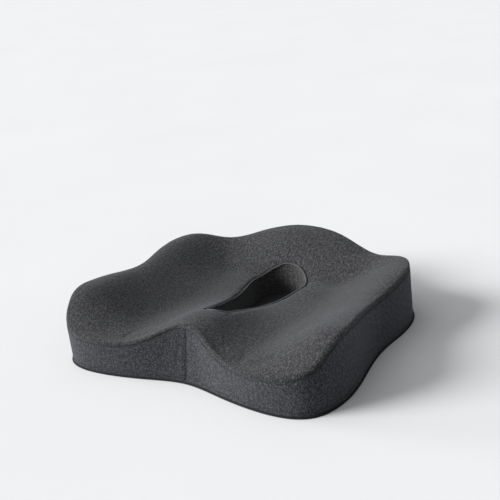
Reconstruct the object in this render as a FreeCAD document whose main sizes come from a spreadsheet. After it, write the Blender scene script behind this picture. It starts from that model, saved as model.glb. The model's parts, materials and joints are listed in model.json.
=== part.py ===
import FreeCAD, Part
import os
from math import cos, degrees, exp, radians, sin, sqrt

from FreeCAD import Placement, Rotation, Vector

# A contoured foam seat cushion in a knit cover. +Z is up, -Y is the front, and the origin is at the
# middle of the base. Lengths are in millimetres and angles in degrees.
DIMENSIONS = [
    # outline of the base, right half, from the back arc round the side to the front centre
    ("back_arc_radius", 252, "radius of the back edge between the shoulders"),
    ("back_arc_half_angle", 24, "half of the angle that the back arc spans"),
    ("back_y", 197.5, "back edge on the centre line"),
    ("shoulder_x", 150, "middle of the back shoulder"),
    ("shoulder_y", 160, ""),
    ("back_corner_x", 205, "back corner"),
    ("back_corner_y", 131, ""),
    ("side_back_x", 221, "widest place behind the waist"),
    ("side_back_y", 74, ""),
    ("waist_x", 215, "narrowest place of the side"),
    ("waist_y", 6, ""),
    ("side_middle_x", 220, "side in front of the waist"),
    ("side_middle_y", -58, ""),
    ("side_front_x", 226, "widest place, beside the front lobe"),
    ("side_front_y", -134, ""),
    ("front_corner_x", 207, "front corner"),
    ("front_corner_y", -182, ""),
    ("lobe_x", 130, "foremost place of the front lobe"),
    ("lobe_y", -197.5, ""),
    ("dent_side_x", 52, "flank of the dent between the lobes"),
    ("dent_side_y", -184, ""),
    ("dent_y", -176, "bottom of the dent, on the centre line"),
    ("wall_top", 130, "height to which the wall surfaces are built before the contour trims them"),
    ("spare", 20, "how far the tools that trim a piece stand out past it"),
    ("dent_lean", 31, "how far the wall at the dent leans back over the height wall_top"),
    ("dent_lean_width", 63, "half width of that lean"),
    # the contoured top
    ("contour_step", 20, "spacing of the places where the height of the top is worked out"),
    ("pan_height", 41, "lowest height of the sitting area"),
    ("front_rise", 11, "rise of the thigh channels towards the front"),
    ("front_rise_start", 30, "where that rise starts"),
    ("side_rise", 48, "rise of the sides above the sitting area"),
    ("side_rise_start", 92, "distance from the centre line where the sides start to rise"),
    ("side_rise_end", 219, "distance from the centre line where they reach full height"),
    ("side_fade_start", -218, "the sides fade out in front of this place"),
    ("side_fade_end", -120, "and are full behind this one"),
    ("waist_dip", 8, "dip of the side rim at the waist"),
    ("waist_dip_length", 45, "half length of that dip"),
    ("back_rise", 43, "rise of the back beside the centre"),
    ("back_centre_rise", 16, "further rise of the back at its centre"),
    ("back_centre_width", 70, "half width of that further rise"),
    ("back_rise_start", 94, "where the back starts to rise"),
    ("ridge_rise", 31, "height of the ridge between the thigh channels"),
    ("ridge_width", 40, "half width of the ridge"),
    ("ridge_start", 50, "where the ridge starts, inside the relief hole"),
    ("ridge_end", -132, "where the ridge reaches full height"),
    # relief hole
    ("hole_tip_y", -92, "front tip of the relief hole"),
    ("hole_tip_radius", 19, "radius of the front tip"),
    ("hole_back_y", 127, "rear end of the relief hole"),
    ("hole_back_radius", 45, "radius of the rear end"),
    # layers, from outside to inside
    ("cloth_thick", 2, "thickness of the padded knit cover"),
    ("layer_gap", 0.4, "clearance between neighbouring layers"),
    ("seam_gap", 0.3, "clearance between the edges of two panels at a seam"),
    ("seam_half_angle", 0.08, "half of that clearance beside the back band, as an angle"),
    ("tape_gap", 0.6, "clearance between the back band and the zip tape"),
    ("tape_thick", 1, "thickness of the zip tape"),
    ("liner_thick", 0.8, "thickness of the inner liner"),
    ("base_low", 0.9, "height of the bottom panel above the foot of the piping"),
    ("piping_high", 3.2, "height of the piping round the base"),
    ("piping_wide", 2.2, "width of the piping"),
    # stitches and grip dots
    ("stitch_pitch", 9, "distance from one stitch to the next"),
    ("stitch_long", 5.5, "length of a stitch"),
    ("stitch_radius", 0.4, "radius of the thread"),
    ("stitch_lift", 0.35, "clearance between the thread and the cloth"),
    ("rim_stitch_drop", 6, "distance of the top stitches below the rim"),
    ("base_stitch_high", 8, "height of the stitches above the bottom edge"),
    ("hole_stitch_out", 4.5, "distance of the stitches from the edge of the relief hole"),
    ("dot_radius", 1.8, "radius of a grip dot"),
    ("dot_thick", 0.6, "thickness of a grip dot"),
    ("dot_pitch", 20, "distance between grip dots"),
    ("dot_margin", 14, "distance of the grip dots from the edges of the bottom panel"),
    # zip in the back band
    ("zip_high", 29, "height of the middle of the zip"),
    ("zip_half_angle", 21, "half of the angle that the teeth span"),
    ("zip_window_half_angle", 22.3, "half of the angle that the slot in the back band spans"),
    ("zip_window_half_high", 8, "half height of that slot"),
    ("tape_half_high", 15, "distance of the outer edges of the tapes from the middle of the zip"),
    ("tape_inner_edge", 1.8, "distance of their inner edges from it"),
    ("tape_end_angle", 0.5, "angle that the tapes reach past the ends of the slot"),
    ("tooth_pitch", 3.4, "distance from one tooth to the next on the same tape"),
    ("tooth_wide", 1.2, "width of a tooth"),
    ("tooth_high", 2.3, "height of a tooth"),
    ("tooth_deep", 2.6, "depth of a tooth"),
    ("tooth_root", 1.55, "distance of the root of a tooth from the middle of the zip"),
    ("stop_wide", 2.4, "width of a zip stop"),
    ("stop_high", 3.2, "height of a zip stop"),
    ("stop_angle", 0.65, "angle from the end of the teeth to a zip stop"),
    ("slider_angle", 19.3, "angle of the closed slider from the centre line"),
    ("slider_long", 9, "length of the slider"),
    ("slider_high", 8.8, "height of the slider"),
    ("slider_plate", 1.4, "thickness of the slider's front plate"),
    ("slider_stand_off", 0.2, "distance of the front plate from the back band"),
    ("flange_high", 0.8, "thickness of the slider's flanges"),
    ("flange_deep", 2, "depth of the slider's flanges"),
    ("bridge_long", 6.4, "length of the bridge that holds the pull tab"),
    ("bridge_high", 2.4, "height of the bridge"),
    ("bridge_thick", 1.2, "thickness of the bridge"),
    ("bridge_gap", 2.6, "clear space under the bridge"),
    ("tab_long", 27, "length of the pull tab"),
    ("tab_high", 7, "height of the pull tab"),
    ("tab_thick", 1.3, "thickness of the pull tab"),
    ("tab_window_long", 5, "length of the window in the pull tab"),
    ("tab_window_high", 3.8, "height of that window"),
    ("tab_grip_radius", 1.5, "radius of the hole at the free end of the pull tab"),
    ("tab_grip_inset", 4, "distance of that hole from the free end"),
    # care label
    ("label_wide", 24, "width of the care label"),
    ("label_high", 15, "height of the care label"),
    ("label_thick", 0.5, "thickness of the care label"),
    ("label_stand_off", 1.4, "distance of the care label from the back band"),
    ("label_angle", -13, "angle of the care label from the centre line"),
]

doc = FreeCAD.newDocument("seat_cushion")
sheet = doc.addObject("Spreadsheet::Sheet", "dimensions")
for row, (alias, number, note) in enumerate(DIMENSIONS, start=1):
    sheet.set(f"A{row}", alias)
    sheet.set(f"B{row}", str(number))
    sheet.set(f"C{row}", note)
    sheet.setAlias(f"B{row}", alias)
doc.recompute()


def dim(alias):
    return float(sheet.get(alias))


ARC_CENTRE = Vector(0, dim("back_y") - dim("back_arc_radius"), 0)
ARC_HALF_ANGLE = radians(dim("back_arc_half_angle"))
CLOTH = dim("cloth_thick")
GAP = dim("layer_gap")
SEAM = dim("seam_gap")
TAPE_INSET = CLOTH + dim("tape_gap")
LINER_INSET = TAPE_INSET + dim("tape_thick") + GAP
FOAM_INSET = LINER_INSET + dim("liner_thick") + GAP
PANEL_TOP = dim("base_low") + CLOTH
BAND_LOW = PANEL_TOP + SEAM
LINER_LOW = PANEL_TOP + GAP
FOAM_LOW = LINER_LOW + dim("liner_thick") + GAP
LINER_DROP = CLOTH + GAP
FOAM_DROP = LINER_DROP + dim("liner_thick") + GAP
SUBPARTS = {}


def subpart(label, obj):
    obj.Label = label
    SUBPARTS[label] = obj
    return obj


# ---- the contour of the top ----


def smooth(value, start, end):
    """0 at start, 1 at end, level at both."""
    part = min(max((value - start) / (end - start), 0.0), 1.0)
    return part * part * (3 - 2 * part)


def bell(value, half_width):
    return exp(-0.5 * (value / half_width) ** 2)


def top_height(x, y):
    """Height of the cover's top surface above the base."""
    across = abs(x)
    pan = dim("pan_height") + dim("front_rise") * smooth(y, dim("front_rise_start"), dim("lobe_y"))
    side = dim("side_rise") - dim("waist_dip") * bell(y - dim("waist_y"), dim("waist_dip_length"))
    side *= smooth(across, dim("side_rise_start"), dim("side_rise_end"))
    side *= smooth(y, dim("side_fade_start"), dim("side_fade_end"))
    back = dim("back_rise") + dim("back_centre_rise") * bell(x, dim("back_centre_width"))
    back *= smooth(y, dim("back_rise_start"), dim("back_y"))
    ridge = dim("ridge_rise") * bell(x, dim("ridge_width"))
    ridge *= smooth(y, dim("ridge_start"), dim("ridge_end"))
    return pan + sqrt(side**2 + back**2) + ridge


def contour_face(drop):
    """The top surface, lowered by drop, over a rectangle larger than the cushion."""
    step = dim("contour_step")
    reach = int(dim("side_front_x") / step) + 1
    columns = [step * i for i in range(-reach, reach + 1)]
    rows = columns[1:-1]
    surface = Part.BSplineSurface()
    surface.interpolate([[Vector(x, y, top_height(x, y) - drop) for y in rows] for x in columns])
    return surface.toShape()


# ---- the outline and the walls ----


def arc_point(angle, reach, z=0.0):
    """Point at a distance from the back arc's centre; the angle runs from +Y towards +X."""
    return ARC_CENTRE + Vector(reach * sin(angle), reach * cos(angle), z)


def outline_points():
    """Base outline, clockwise from above, from the back centre round the right side."""
    steps = 3
    angles = [ARC_HALF_ANGLE * index / steps for index in range(steps + 1)]
    right = [arc_point(angle, dim("back_arc_radius")) for angle in angles]
    places = (
        "shoulder", "back_corner", "side_back", "waist", "side_middle",
        "side_front", "front_corner", "lobe", "dent_side",
    )
    for place in places:
        right.append(Vector(dim(f"{place}_x"), dim(f"{place}_y"), 0))
    front_centre = Vector(0, dim("dent_y"), 0)
    left = [Vector(-point.x, point.y, 0) for point in reversed(right[1:])]
    return right + [front_centre] + left


def closed_spline(points, stations):
    curve = Part.BSplineCurve()
    curve.interpolate(Points=points, PeriodicFlag=True, Parameters=stations)
    return curve


def chord_lengths(points):
    """Distance run along the points, one for each point and one more for the way back."""
    lengths = [0.0]
    for first, second in zip(points, points[1:] + points[:1]):
        lengths.append(lengths[-1] + (second - first).Length)
    return lengths


OUTLINE = outline_points()
STATIONS = chord_lengths(OUTLINE)
BASE_CURVE = closed_spline(OUTLINE, STATIONS)


def outward(station):
    """Outward normal of the base outline."""
    along = BASE_CURVE.tangent(station)[0]
    return Vector(-along.y, along.x, 0)


def lean_back(x, y, z):
    """How far the wall at height z has leaned back at the dent in the front."""
    if y > 0:
        return 0.0
    return dim("dent_lean") * exp(-((x / dim("dent_lean_width")) ** 2)) * z / dim("wall_top")


def wall_point(station, inset, z):
    point = BASE_CURVE.value(station) - outward(station) * inset
    return Vector(point.x, point.y + lean_back(point.x, point.y, z), z)


def outline_wire(inset, z):
    """The outline, moved in by inset, at height z, as one smooth curve cut at every other point."""
    points = [wall_point(station, inset, z) for station in STATIONS[:-1]]
    edges = []
    for start, end in zip(STATIONS[:-1:2], STATIONS[2::2]):
        curve = closed_spline(points, STATIONS)
        curve.segment(start, end)
        edges.append(curve.toShape())
    return Part.Wire(edges)


def prism(name, inset, low, high):
    """Solid between two heights whose wall is the outline moved in by inset."""
    sections = []
    for part, z in (("foot", low), ("head", high)):
        wire = doc.addObject("Part::Feature", f"{name}_{part}")
        wire.Shape = outline_wire(inset, z)
        sections.append(wire)
    loft = doc.addObject("Part::Loft", name)
    loft.Sections = sections
    loft.Solid = True
    loft.Ruled = True
    return loft


def teardrop_wire(growth, z):
    """The relief hole's outline, grown outwards: two arcs joined by their tangents."""
    tip = dim("hole_tip_radius")
    rear = dim("hole_back_radius")
    tip_centre = dim("hole_tip_y") + tip
    rear_centre = dim("hole_back_y") - rear
    flank = (rear - tip) / (rear_centre - tip_centre)
    normal = Vector(sqrt(1 - flank**2), -flank, 0)
    mirrored = Vector(-normal.x, normal.y, 0)
    tip_at = Vector(0, tip_centre, z)
    rear_at = Vector(0, rear_centre, z)
    tip += growth
    rear += growth
    corners = [tip_at + normal * tip, rear_at + normal * rear]
    corners += [rear_at + mirrored * rear, tip_at + mirrored * tip]
    edges = [
        Part.LineSegment(corners[0], corners[1]).toShape(),
        Part.Arc(corners[1], rear_at + Vector(0, rear, 0), corners[2]).toShape(),
        Part.LineSegment(corners[2], corners[3]).toShape(),
        Part.Arc(corners[3], tip_at - Vector(0, tip, 0), corners[0]).toShape(),
    ]
    return Part.Wire(edges)


def hole_core(name, growth, low=-5.0):
    """Solid that fills the relief hole, grown outwards."""
    profile = doc.addObject("Part::Feature", f"{name}_profile")
    profile.Shape = teardrop_wire(growth, low)
    core = doc.addObject("Part::Extrusion", name)
    core.Base = profile
    core.Solid = True
    core.Dir = Vector(0, 0, 1)
    core.setExpression("LengthFwd", "dimensions.wall_top")
    return core


def above_contour(name, drop):
    """Solid that trims whatever stands above the top surface lowered by drop."""
    face = doc.addObject("Part::Feature", f"{name}_face")
    face.Shape = contour_face(drop)
    tool = doc.addObject("Part::Extrusion", name)
    tool.Base = face
    tool.Solid = True
    tool.Dir = Vector(0, 0, 1)
    tool.setExpression("LengthFwd", "dimensions.wall_top")
    return tool


def boolean(kind, name, base, tool):
    result = doc.addObject(f"Part::{kind}", name)
    result.Base = base
    result.Tool = tool
    return result


def box(name, sizes, corner):
    """Box with its lowest corner at corner; both are lists of expressions."""
    result = doc.addObject("Part::Box", name)
    for side, size in zip(("Length", "Width", "Height"), sizes):
        result.setExpression(side, size)
    for axis, place in zip("xyz", corner):
        result.setExpression(f"Placement.Base.{axis}", place)
    return result


def sector(name, half_angle, low, high):
    """Wedge of a cylinder about the back arc's centre; the angle and heights are expressions."""
    wedge = doc.addObject("Part::Cylinder", name)
    wedge.setExpression("Radius", "dimensions.back_arc_radius + dimensions.spare")
    wedge.setExpression("Angle", f"2 * ({half_angle})")
    wedge.setExpression("Height", f"({high}) - ({low})")
    wedge.setExpression("Placement.Base.y", "dimensions.back_y - dimensions.back_arc_radius")
    wedge.setExpression("Placement.Base.z", low)
    wedge.setExpression("Placement.Rotation.Angle", f"90 - ({half_angle})")
    return wedge


# ---- foam, liner and cover ----


def make_foam():
    block = prism("foam_block", FOAM_INSET, FOAM_LOW, dim("wall_top"))
    trimmed = boolean("Cut", "foam_trimmed", block, above_contour("foam_sky", FOAM_DROP))
    hole = hole_core("foam_hole", CLOTH + 3 * GAP + dim("liner_thick"))
    subpart("foam_core", boolean("Cut", "foam", trimmed, hole))


def make_liner():
    thick = dim("liner_thick")
    outer = prism("liner_outer", LINER_INSET, FOAM_LOW, dim("wall_top"))
    outer = boolean("Cut", "liner_outer_trimmed", outer, above_contour("liner_sky", LINER_DROP))
    outer = boolean("Cut", "liner_outer_holed", outer, hole_core("liner_hole", CLOTH + 2 * GAP))
    inner = prism("liner_inner", LINER_INSET + thick, FOAM_LOW, dim("wall_top"))
    sky = above_contour("liner_inner_sky", LINER_DROP + thick)
    inner = boolean("Cut", "liner_inner_trimmed", inner, sky)
    tube = hole_core("liner_tube", CLOTH + 2 * GAP + thick)
    inner = boolean("Cut", "liner_inner_holed", inner, tube)
    subpart("liner_shell", boolean("Cut", "liner_skin", outer, inner))
    base = prism("liner_base_plate", LINER_INSET, LINER_LOW, LINER_LOW + thick)
    base = boolean("Cut", "liner_base", base, hole_core("liner_base_hole", CLOTH + 2 * GAP))
    subpart("liner_base", base)


def make_cover_panels():
    face = doc.addObject("Part::Feature", "top_panel_face")
    face.Shape = contour_face(0)
    slab = doc.addObject("Part::Extrusion", "top_panel_slab")
    slab.Base = face
    slab.Solid = True
    slab.Dir = Vector(0, 0, -1)
    slab.setExpression("LengthFwd", "dimensions.cloth_thick")
    block = prism("top_panel_block", 0, PANEL_TOP, dim("wall_top"))
    panel = boolean("Common", "top_panel_trimmed", block, slab)
    panel = boolean("Cut", "top_panel", panel, hole_core("top_panel_hole", CLOTH + SEAM))
    subpart("cover_top_panel", panel)

    plate = prism("bottom_plate", 0, dim("base_low"), PANEL_TOP)
    plate = boolean("Cut", "bottom_panel", plate, hole_core("bottom_hole", CLOTH + SEAM))
    subpart("cover_bottom_panel", plate)

    tube = hole_core("sleeve_outer", CLOTH, dim("base_low"))
    tube = boolean("Cut", "sleeve_tube", tube, hole_core("sleeve_inner", 0))
    tube = boolean("Cut", "sleeve", tube, above_contour("sleeve_sky", 0))
    subpart("relief_hole_sleeve", tube)

    closing = hole_core("hole_floor", -SEAM, dim("base_low"))
    closing.setExpression("LengthFwd", "dimensions.cloth_thick")
    subpart("relief_hole_floor", closing)


def wall_ring():
    """The side fabric all round, as one ring under the top panel."""
    outer = prism("wall_outer", 0, BAND_LOW, dim("wall_top"))
    inner = prism("wall_inner", CLOTH, BAND_LOW - 1, dim("wall_top") + 1)
    ring = boolean("Cut", "wall_ring", outer, inner)
    return boolean("Cut", "wall_trimmed", ring, above_contour("wall_sky", CLOTH + SEAM))


def make_bands():
    ring = wall_ring()
    half_angle, seam = "dimensions.back_arc_half_angle", "dimensions.seam_half_angle"
    low, high = "-dimensions.spare", "dimensions.wall_top + dimensions.spare"
    back = sector("back_wedge", f"{half_angle} + {seam}", low, high)
    sides = boolean("Cut", "side_bands", ring, back)
    wide = "dimensions.side_front_x + dimensions.spare"
    half = [wide, f"2 * ({wide})", f"{high} - ({low})"]
    right_half = box("right_half", half, ["dimensions.seam_gap / 2", f"-({wide})", low])
    left_half = box("left_half", half, [f"-({wide}) - dimensions.seam_gap / 2", f"-({wide})", low])
    subpart("side_band_right", boolean("Common", "right_band", sides, right_half))
    subpart("side_band_left", boolean("Common", "left_band", sides, left_half))

    zip_high = "dimensions.zip_high"
    window_low = f"{zip_high} - dimensions.zip_window_half_high"
    window_high = f"{zip_high} + dimensions.zip_window_half_high"
    window = sector("zip_window", "dimensions.zip_window_half_angle", window_low, window_high)
    solid_back = boolean("Cut", "back_with_slot", ring, window)
    seam_edge = "dimensions.seam_gap / 2"
    limits = {"upper": (f"{zip_high} + {seam_edge}", high), "lower": (low, f"{zip_high} - {seam_edge}")}
    for part, (low, high) in limits.items():
        wedge = sector(f"back_{part}_wedge", f"{half_angle} - {seam}", low, high)
        subpart(f"back_band_{part}", boolean("Common", f"{part}_band", solid_back, wedge))


def make_piping():
    wide = dim("piping_wide")
    outer = prism("piping_outer", -wide, 0, dim("piping_high"))
    inner = prism("piping_inner", -SEAM, -1, dim("piping_high") + 1)
    subpart("base_piping", boolean("Cut", "piping", outer, inner))


# ---- stitches and grip dots ----


def row_of_stitches(label, points, closed):
    """One seam's thread, as separate short stitches along a row of points."""
    stitches = []
    half = dim("stitch_long") / 2
    for index in range(len(points)):
        before = points[index - 1] if closed or index else points[index]
        after = points[(index + 1) % len(points)] if closed or index + 1 < len(points) else points[index]
        along = (after - before).normalize()
        start = points[index] - along * half
        stitches.append(Part.makeCylinder(dim("stitch_radius"), 2 * half, start, along))
    thread = doc.addObject("Part::Feature", label)
    thread.Shape = Part.Compound(stitches)
    subpart(label, thread)


def wall_row(height_at):
    """Points just outside the wall, one stitch apart, at the height that height_at gives."""
    outset = dim("stitch_radius") + dim("stitch_lift")
    points = []
    count = int(STATIONS[-1] / dim("stitch_pitch"))
    for index in range(count):
        station = STATIONS[-1] * index / count
        place = wall_point(station, -outset, dim("pan_height"))
        points.append(wall_point(station, -outset, height_at(place.x, place.y)))
    return points


def make_threads():
    row_of_stitches("top_seam_thread", wall_row(lambda x, y: top_height(x, y) - dim("rim_stitch_drop")), True)
    row_of_stitches("base_seam_thread", wall_row(lambda x, y: dim("base_stitch_high")), True)

    low = dim("base_stitch_high") + dim("stitch_pitch")
    high = top_height(0, dim("dent_y")) - dim("rim_stitch_drop") - dim("stitch_pitch")
    middle = STATIONS[len(OUTLINE) // 2]
    count = int((high - low) / dim("stitch_pitch"))
    heights = [low + (high - low) * index / count for index in range(count + 1)]
    outset = dim("stitch_radius") + dim("stitch_lift")
    row_of_stitches("front_seam_thread", [wall_point(middle, -outset, z) for z in heights], False)

    edge = teardrop_wire(dim("hole_stitch_out"), 0)
    count = int(edge.Length / dim("stitch_pitch"))
    around = edge.discretize(Number=count + 1)[:-1]
    rim = [Vector(point.x, point.y, top_height(point.x, point.y) + outset) for point in around]
    row_of_stitches("hole_rim_thread", rim, True)
    under = dim("base_low") / 2
    row_of_stitches("hole_base_thread", [Vector(point.x, point.y, under) for point in around], True)


def make_grip_dots():
    """Grip dots on the bottom panel, in rows that are staggered by half the pitch."""
    panel = Part.Face(outline_wire(dim("dot_margin"), 0))
    opening = Part.Face(teardrop_wire(dim("dot_margin"), 0))
    pitch = dim("dot_pitch")
    rise = pitch * sqrt(3) / 2
    reach = int(dim("side_front_x") / rise)
    dots = []
    for row in range(-reach, reach + 1):
        for column in range(-reach, reach + 1):
            place = Vector((column + 0.5 * (row % 2)) * pitch, row * rise, 0)
            if panel.isInside(place, 0.01, True) and not opening.isInside(place, 0.01, True):
                foot = place + Vector(0, 0, dim("base_low") - dim("dot_thick"))
                dots.append(Part.makeCylinder(dim("dot_radius"), dim("dot_thick"), foot))
    field = doc.addObject("Part::Feature", "grip_dots")
    field.Shape = Part.Compound(dots)
    subpart("grip_dots", field)


# ---- zip ----


def on_back_arc(angle):
    """Placement at the back arc's centre, turned so that +Y points at angle towards +X."""
    return Placement(ARC_CENTRE, Rotation(Vector(0, 0, 1), -angle))


def make_tapes():
    reach = dim("back_arc_radius") - TAPE_INSET
    edges = (dim("tape_inner_edge"), dim("tape_half_high"))
    spans = {
        "upper": (dim("zip_high") + edges[0], dim("zip_high") + edges[1]),
        "lower": (dim("zip_high") - edges[1], dim("zip_high") - edges[0]),
    }
    half_angle = "dimensions.zip_window_half_angle + dimensions.tape_end_angle"
    for part, (low, high) in spans.items():
        shells = []
        for side, radius in (("outer", reach), ("inner", reach - dim("tape_thick"))):
            wedge = sector(f"tape_{part}_{side}", half_angle, str(low), str(high))
            wedge.setExpression("Radius", str(radius))
            shells.append(wedge)
        subpart(f"zip_tape_{part}", boolean("Cut", f"{part}_tape", *shells))


def tooth(angle, low):
    outer = dim("back_arc_radius") - GAP
    corner = Vector(-dim("tooth_wide") / 2, outer - dim("tooth_deep"), low)
    block = Part.makeBox(dim("tooth_wide"), dim("tooth_deep"), dim("tooth_high"), corner)
    block.Placement = on_back_arc(angle)
    return block


def make_teeth():
    step = degrees(dim("tooth_pitch") / dim("back_arc_radius"))
    count = int(2 * dim("zip_half_angle") / step)
    lows = {
        "upper": dim("zip_high") + dim("tooth_root") - dim("tooth_high"),
        "lower": dim("zip_high") - dim("tooth_root"),
    }
    for part, shift in (("upper", 0.25), ("lower", -0.25)):
        first = -(count - 1) / 2
        angles = [(first + index + shift) * step for index in range(count)]
        row = doc.addObject("Part::Feature", f"zip_teeth_{part}")
        row.Shape = Part.Compound([tooth(angle, lows[part]) for angle in angles])
        subpart(f"zip_teeth_{part}", row)


def make_stops():
    outer = dim("back_arc_radius") - GAP
    wide = dim("stop_wide")
    high = dim("stop_high")
    angle = dim("zip_half_angle") + dim("stop_angle")
    for label, side in (("zip_top_stop", 1), ("zip_bottom_stop", -1)):
        corner = Vector(-wide / 2, outer - dim("tooth_deep"), dim("zip_high") - high / 2)
        stop = doc.addObject("Part::Feature", label)
        stop.Shape = Part.makeBox(wide, dim("tooth_deep"), high, corner)
        stop.Placement = on_back_arc(side * angle)
        subpart(label, stop)


def make_slider():
    """Front plate, a flange above and below the teeth, and the bridge for the pull tab."""
    long, high, plate = "dimensions.slider_long", "dimensions.slider_high", "dimensions.slider_plate"
    radius, zip_high = "dimensions.back_arc_radius", "dimensions.zip_high"
    face = f"{radius} + dimensions.slider_stand_off"
    bridge_foot = f"{face} + {plate}"
    bridge = ["dimensions.bridge_long", "dimensions.bridge_thick", "dimensions.bridge_high"]
    gap = "dimensions.bridge_gap"
    low = f"{zip_high} - {high} / 2"
    pieces = [box("slider_plate", [long, plate, high], [f"-{long} / 2", face, low])]
    flange = [long, "dimensions.flange_deep", "dimensions.flange_high"]
    flange_y = f"{face} - dimensions.flange_deep"
    pieces.append(box("slider_flange_low", flange, [f"-{long} / 2", flange_y, low]))
    top = f"{zip_high} + {high} / 2 - dimensions.flange_high"
    pieces.append(box("slider_flange_high", flange, [f"-{long} / 2", flange_y, top]))
    bridge_z = f"{zip_high} - {bridge[2]} / 2"
    pieces.append(box("bridge_bar", bridge, [f"-{bridge[0]} / 2", f"{bridge_foot} + {gap}", bridge_z]))
    post = [bridge[1], gap, bridge[2]]
    for side, x in (("left", f"-{bridge[0]} / 2"), ("right", f"{bridge[0]} / 2 - {bridge[1]}")):
        pieces.append(box(f"bridge_post_{side}", post, [x, bridge_foot, bridge_z]))
    fused = doc.addObject("Part::MultiFuse", "slider_fused")
    fused.Shapes = pieces
    fused.Refine = True
    fused.Placement = on_back_arc(dim("slider_angle"))
    subpart("zip_slider", fused)


def make_pull_tab():
    """Flat tab whose round end bar lies under the bridge; it lies along the closed zip."""
    radius, zip_high = "dimensions.back_arc_radius", "dimensions.zip_high"
    thick = "dimensions.tab_thick"
    face = f"{radius} + dimensions.slider_stand_off + dimensions.slider_plate"
    pivot = f"{face} + dimensions.bridge_gap / 2"
    low = f"{zip_high} - dimensions.tab_high / 2"
    size = ["dimensions.tab_long", thick, "dimensions.tab_high"]
    plate = box("tab_plate", size, ["-dimensions.tab_long", f"{pivot} - {thick} / 2", low])
    rounded = doc.addObject("Part::Cylinder", "tab_end_bar")
    rounded.setExpression("Radius", f"{thick} / 2")
    rounded.setExpression("Height", "dimensions.tab_high")
    rounded.setExpression("Placement.Base.y", pivot)
    rounded.setExpression("Placement.Base.z", low)
    plate = boolean("Fuse", "tab_body", plate, rounded)
    window_size = ["dimensions.tab_window_long", f"{thick} * 3", "dimensions.tab_window_high"]
    window_corner = [
        f"-{thick} / 2 - dimensions.tab_window_long",
        f"{pivot} - {thick} * 1.5",
        f"{zip_high} - dimensions.tab_window_high / 2",
    ]
    tab = boolean("Cut", "tab_with_window", plate, box("tab_window", window_size, window_corner))
    grip = doc.addObject("Part::Cylinder", "tab_grip_hole")
    grip.setExpression("Radius", "dimensions.tab_grip_radius")
    grip.setExpression("Height", f"{thick} * 3")
    grip.setExpression("Placement.Base.x", "dimensions.tab_grip_inset - dimensions.tab_long")
    grip.setExpression("Placement.Base.y", f"{pivot} + {thick} * 1.5")
    grip.setExpression("Placement.Base.z", zip_high)
    grip.Placement.Rotation = Rotation(Vector(1, 0, 0), 90)
    tab = boolean("Cut", "tab", tab, grip)
    tab.Placement = on_back_arc(dim("slider_angle"))
    subpart("zip_pull_tab", tab)


def make_label():
    label = doc.addObject("Part::Box", "label")
    label.setExpression("Length", "dimensions.label_wide")
    label.setExpression("Width", "dimensions.label_thick")
    label.setExpression("Height", "dimensions.label_high")
    low = dim("piping_high") + GAP
    corner = Vector(-dim("label_wide") / 2, dim("back_arc_radius") + dim("label_stand_off"), low)
    label.Placement = on_back_arc(dim("label_angle")) * Placement(corner, Rotation())
    subpart("care_label", label)


make_foam()
make_liner()
make_cover_panels()
make_bands()
make_piping()
make_threads()
make_grip_dots()
make_tapes()
make_teeth()
make_stops()
make_slider()
make_pull_tab()
make_label()
doc.recompute()

for obj in doc.Objects:
    if {"Invalid", "Error"} & set(obj.State):
        raise RuntimeError(f"{obj.Label} did not compute: {obj.State}")
for label, obj in SUBPARTS.items():
    if obj.Shape.isNull() or not obj.Shape.isValid() or not obj.Shape.Solids:
        raise RuntimeError(f"{label} has no valid solid")

os.makedirs("parts", exist_ok=True)
for label, obj in SUBPARTS.items():
    obj.Shape.exportStep(f"parts/{label}.step")
    bounds = obj.Shape.BoundBox
    print(f"{label}: {len(obj.Shape.Solids)} solids, {obj.Shape.Volume / 1000:.2f} cm3, "
          f"x {bounds.XMin:.1f}..{bounds.XMax:.1f} y {bounds.YMin:.1f}..{bounds.YMax:.1f} "
          f"z {bounds.ZMin:.1f}..{bounds.ZMax:.1f}")
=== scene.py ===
import json
import math

import bmesh
import bpy
import numpy as np
from mathutils import Matrix, Vector, noise
from mathutils.bvhtree import BVHTree


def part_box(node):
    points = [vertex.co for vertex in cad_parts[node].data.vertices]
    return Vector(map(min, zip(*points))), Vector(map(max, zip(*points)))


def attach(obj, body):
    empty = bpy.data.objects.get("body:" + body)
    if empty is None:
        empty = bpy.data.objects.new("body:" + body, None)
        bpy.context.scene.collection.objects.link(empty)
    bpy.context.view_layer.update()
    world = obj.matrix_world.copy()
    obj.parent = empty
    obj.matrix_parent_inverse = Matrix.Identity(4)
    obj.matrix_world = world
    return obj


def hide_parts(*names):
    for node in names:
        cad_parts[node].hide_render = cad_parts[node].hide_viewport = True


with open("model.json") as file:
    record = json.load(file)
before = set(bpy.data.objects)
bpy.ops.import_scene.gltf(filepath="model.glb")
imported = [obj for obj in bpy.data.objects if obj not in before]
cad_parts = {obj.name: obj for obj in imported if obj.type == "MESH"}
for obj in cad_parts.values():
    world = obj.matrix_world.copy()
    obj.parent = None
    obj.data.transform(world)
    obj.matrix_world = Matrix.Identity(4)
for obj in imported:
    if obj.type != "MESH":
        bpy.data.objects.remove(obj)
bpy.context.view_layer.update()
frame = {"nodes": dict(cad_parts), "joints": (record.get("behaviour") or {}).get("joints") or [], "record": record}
NODES = frame["nodes"]
MM = 0.001

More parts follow.
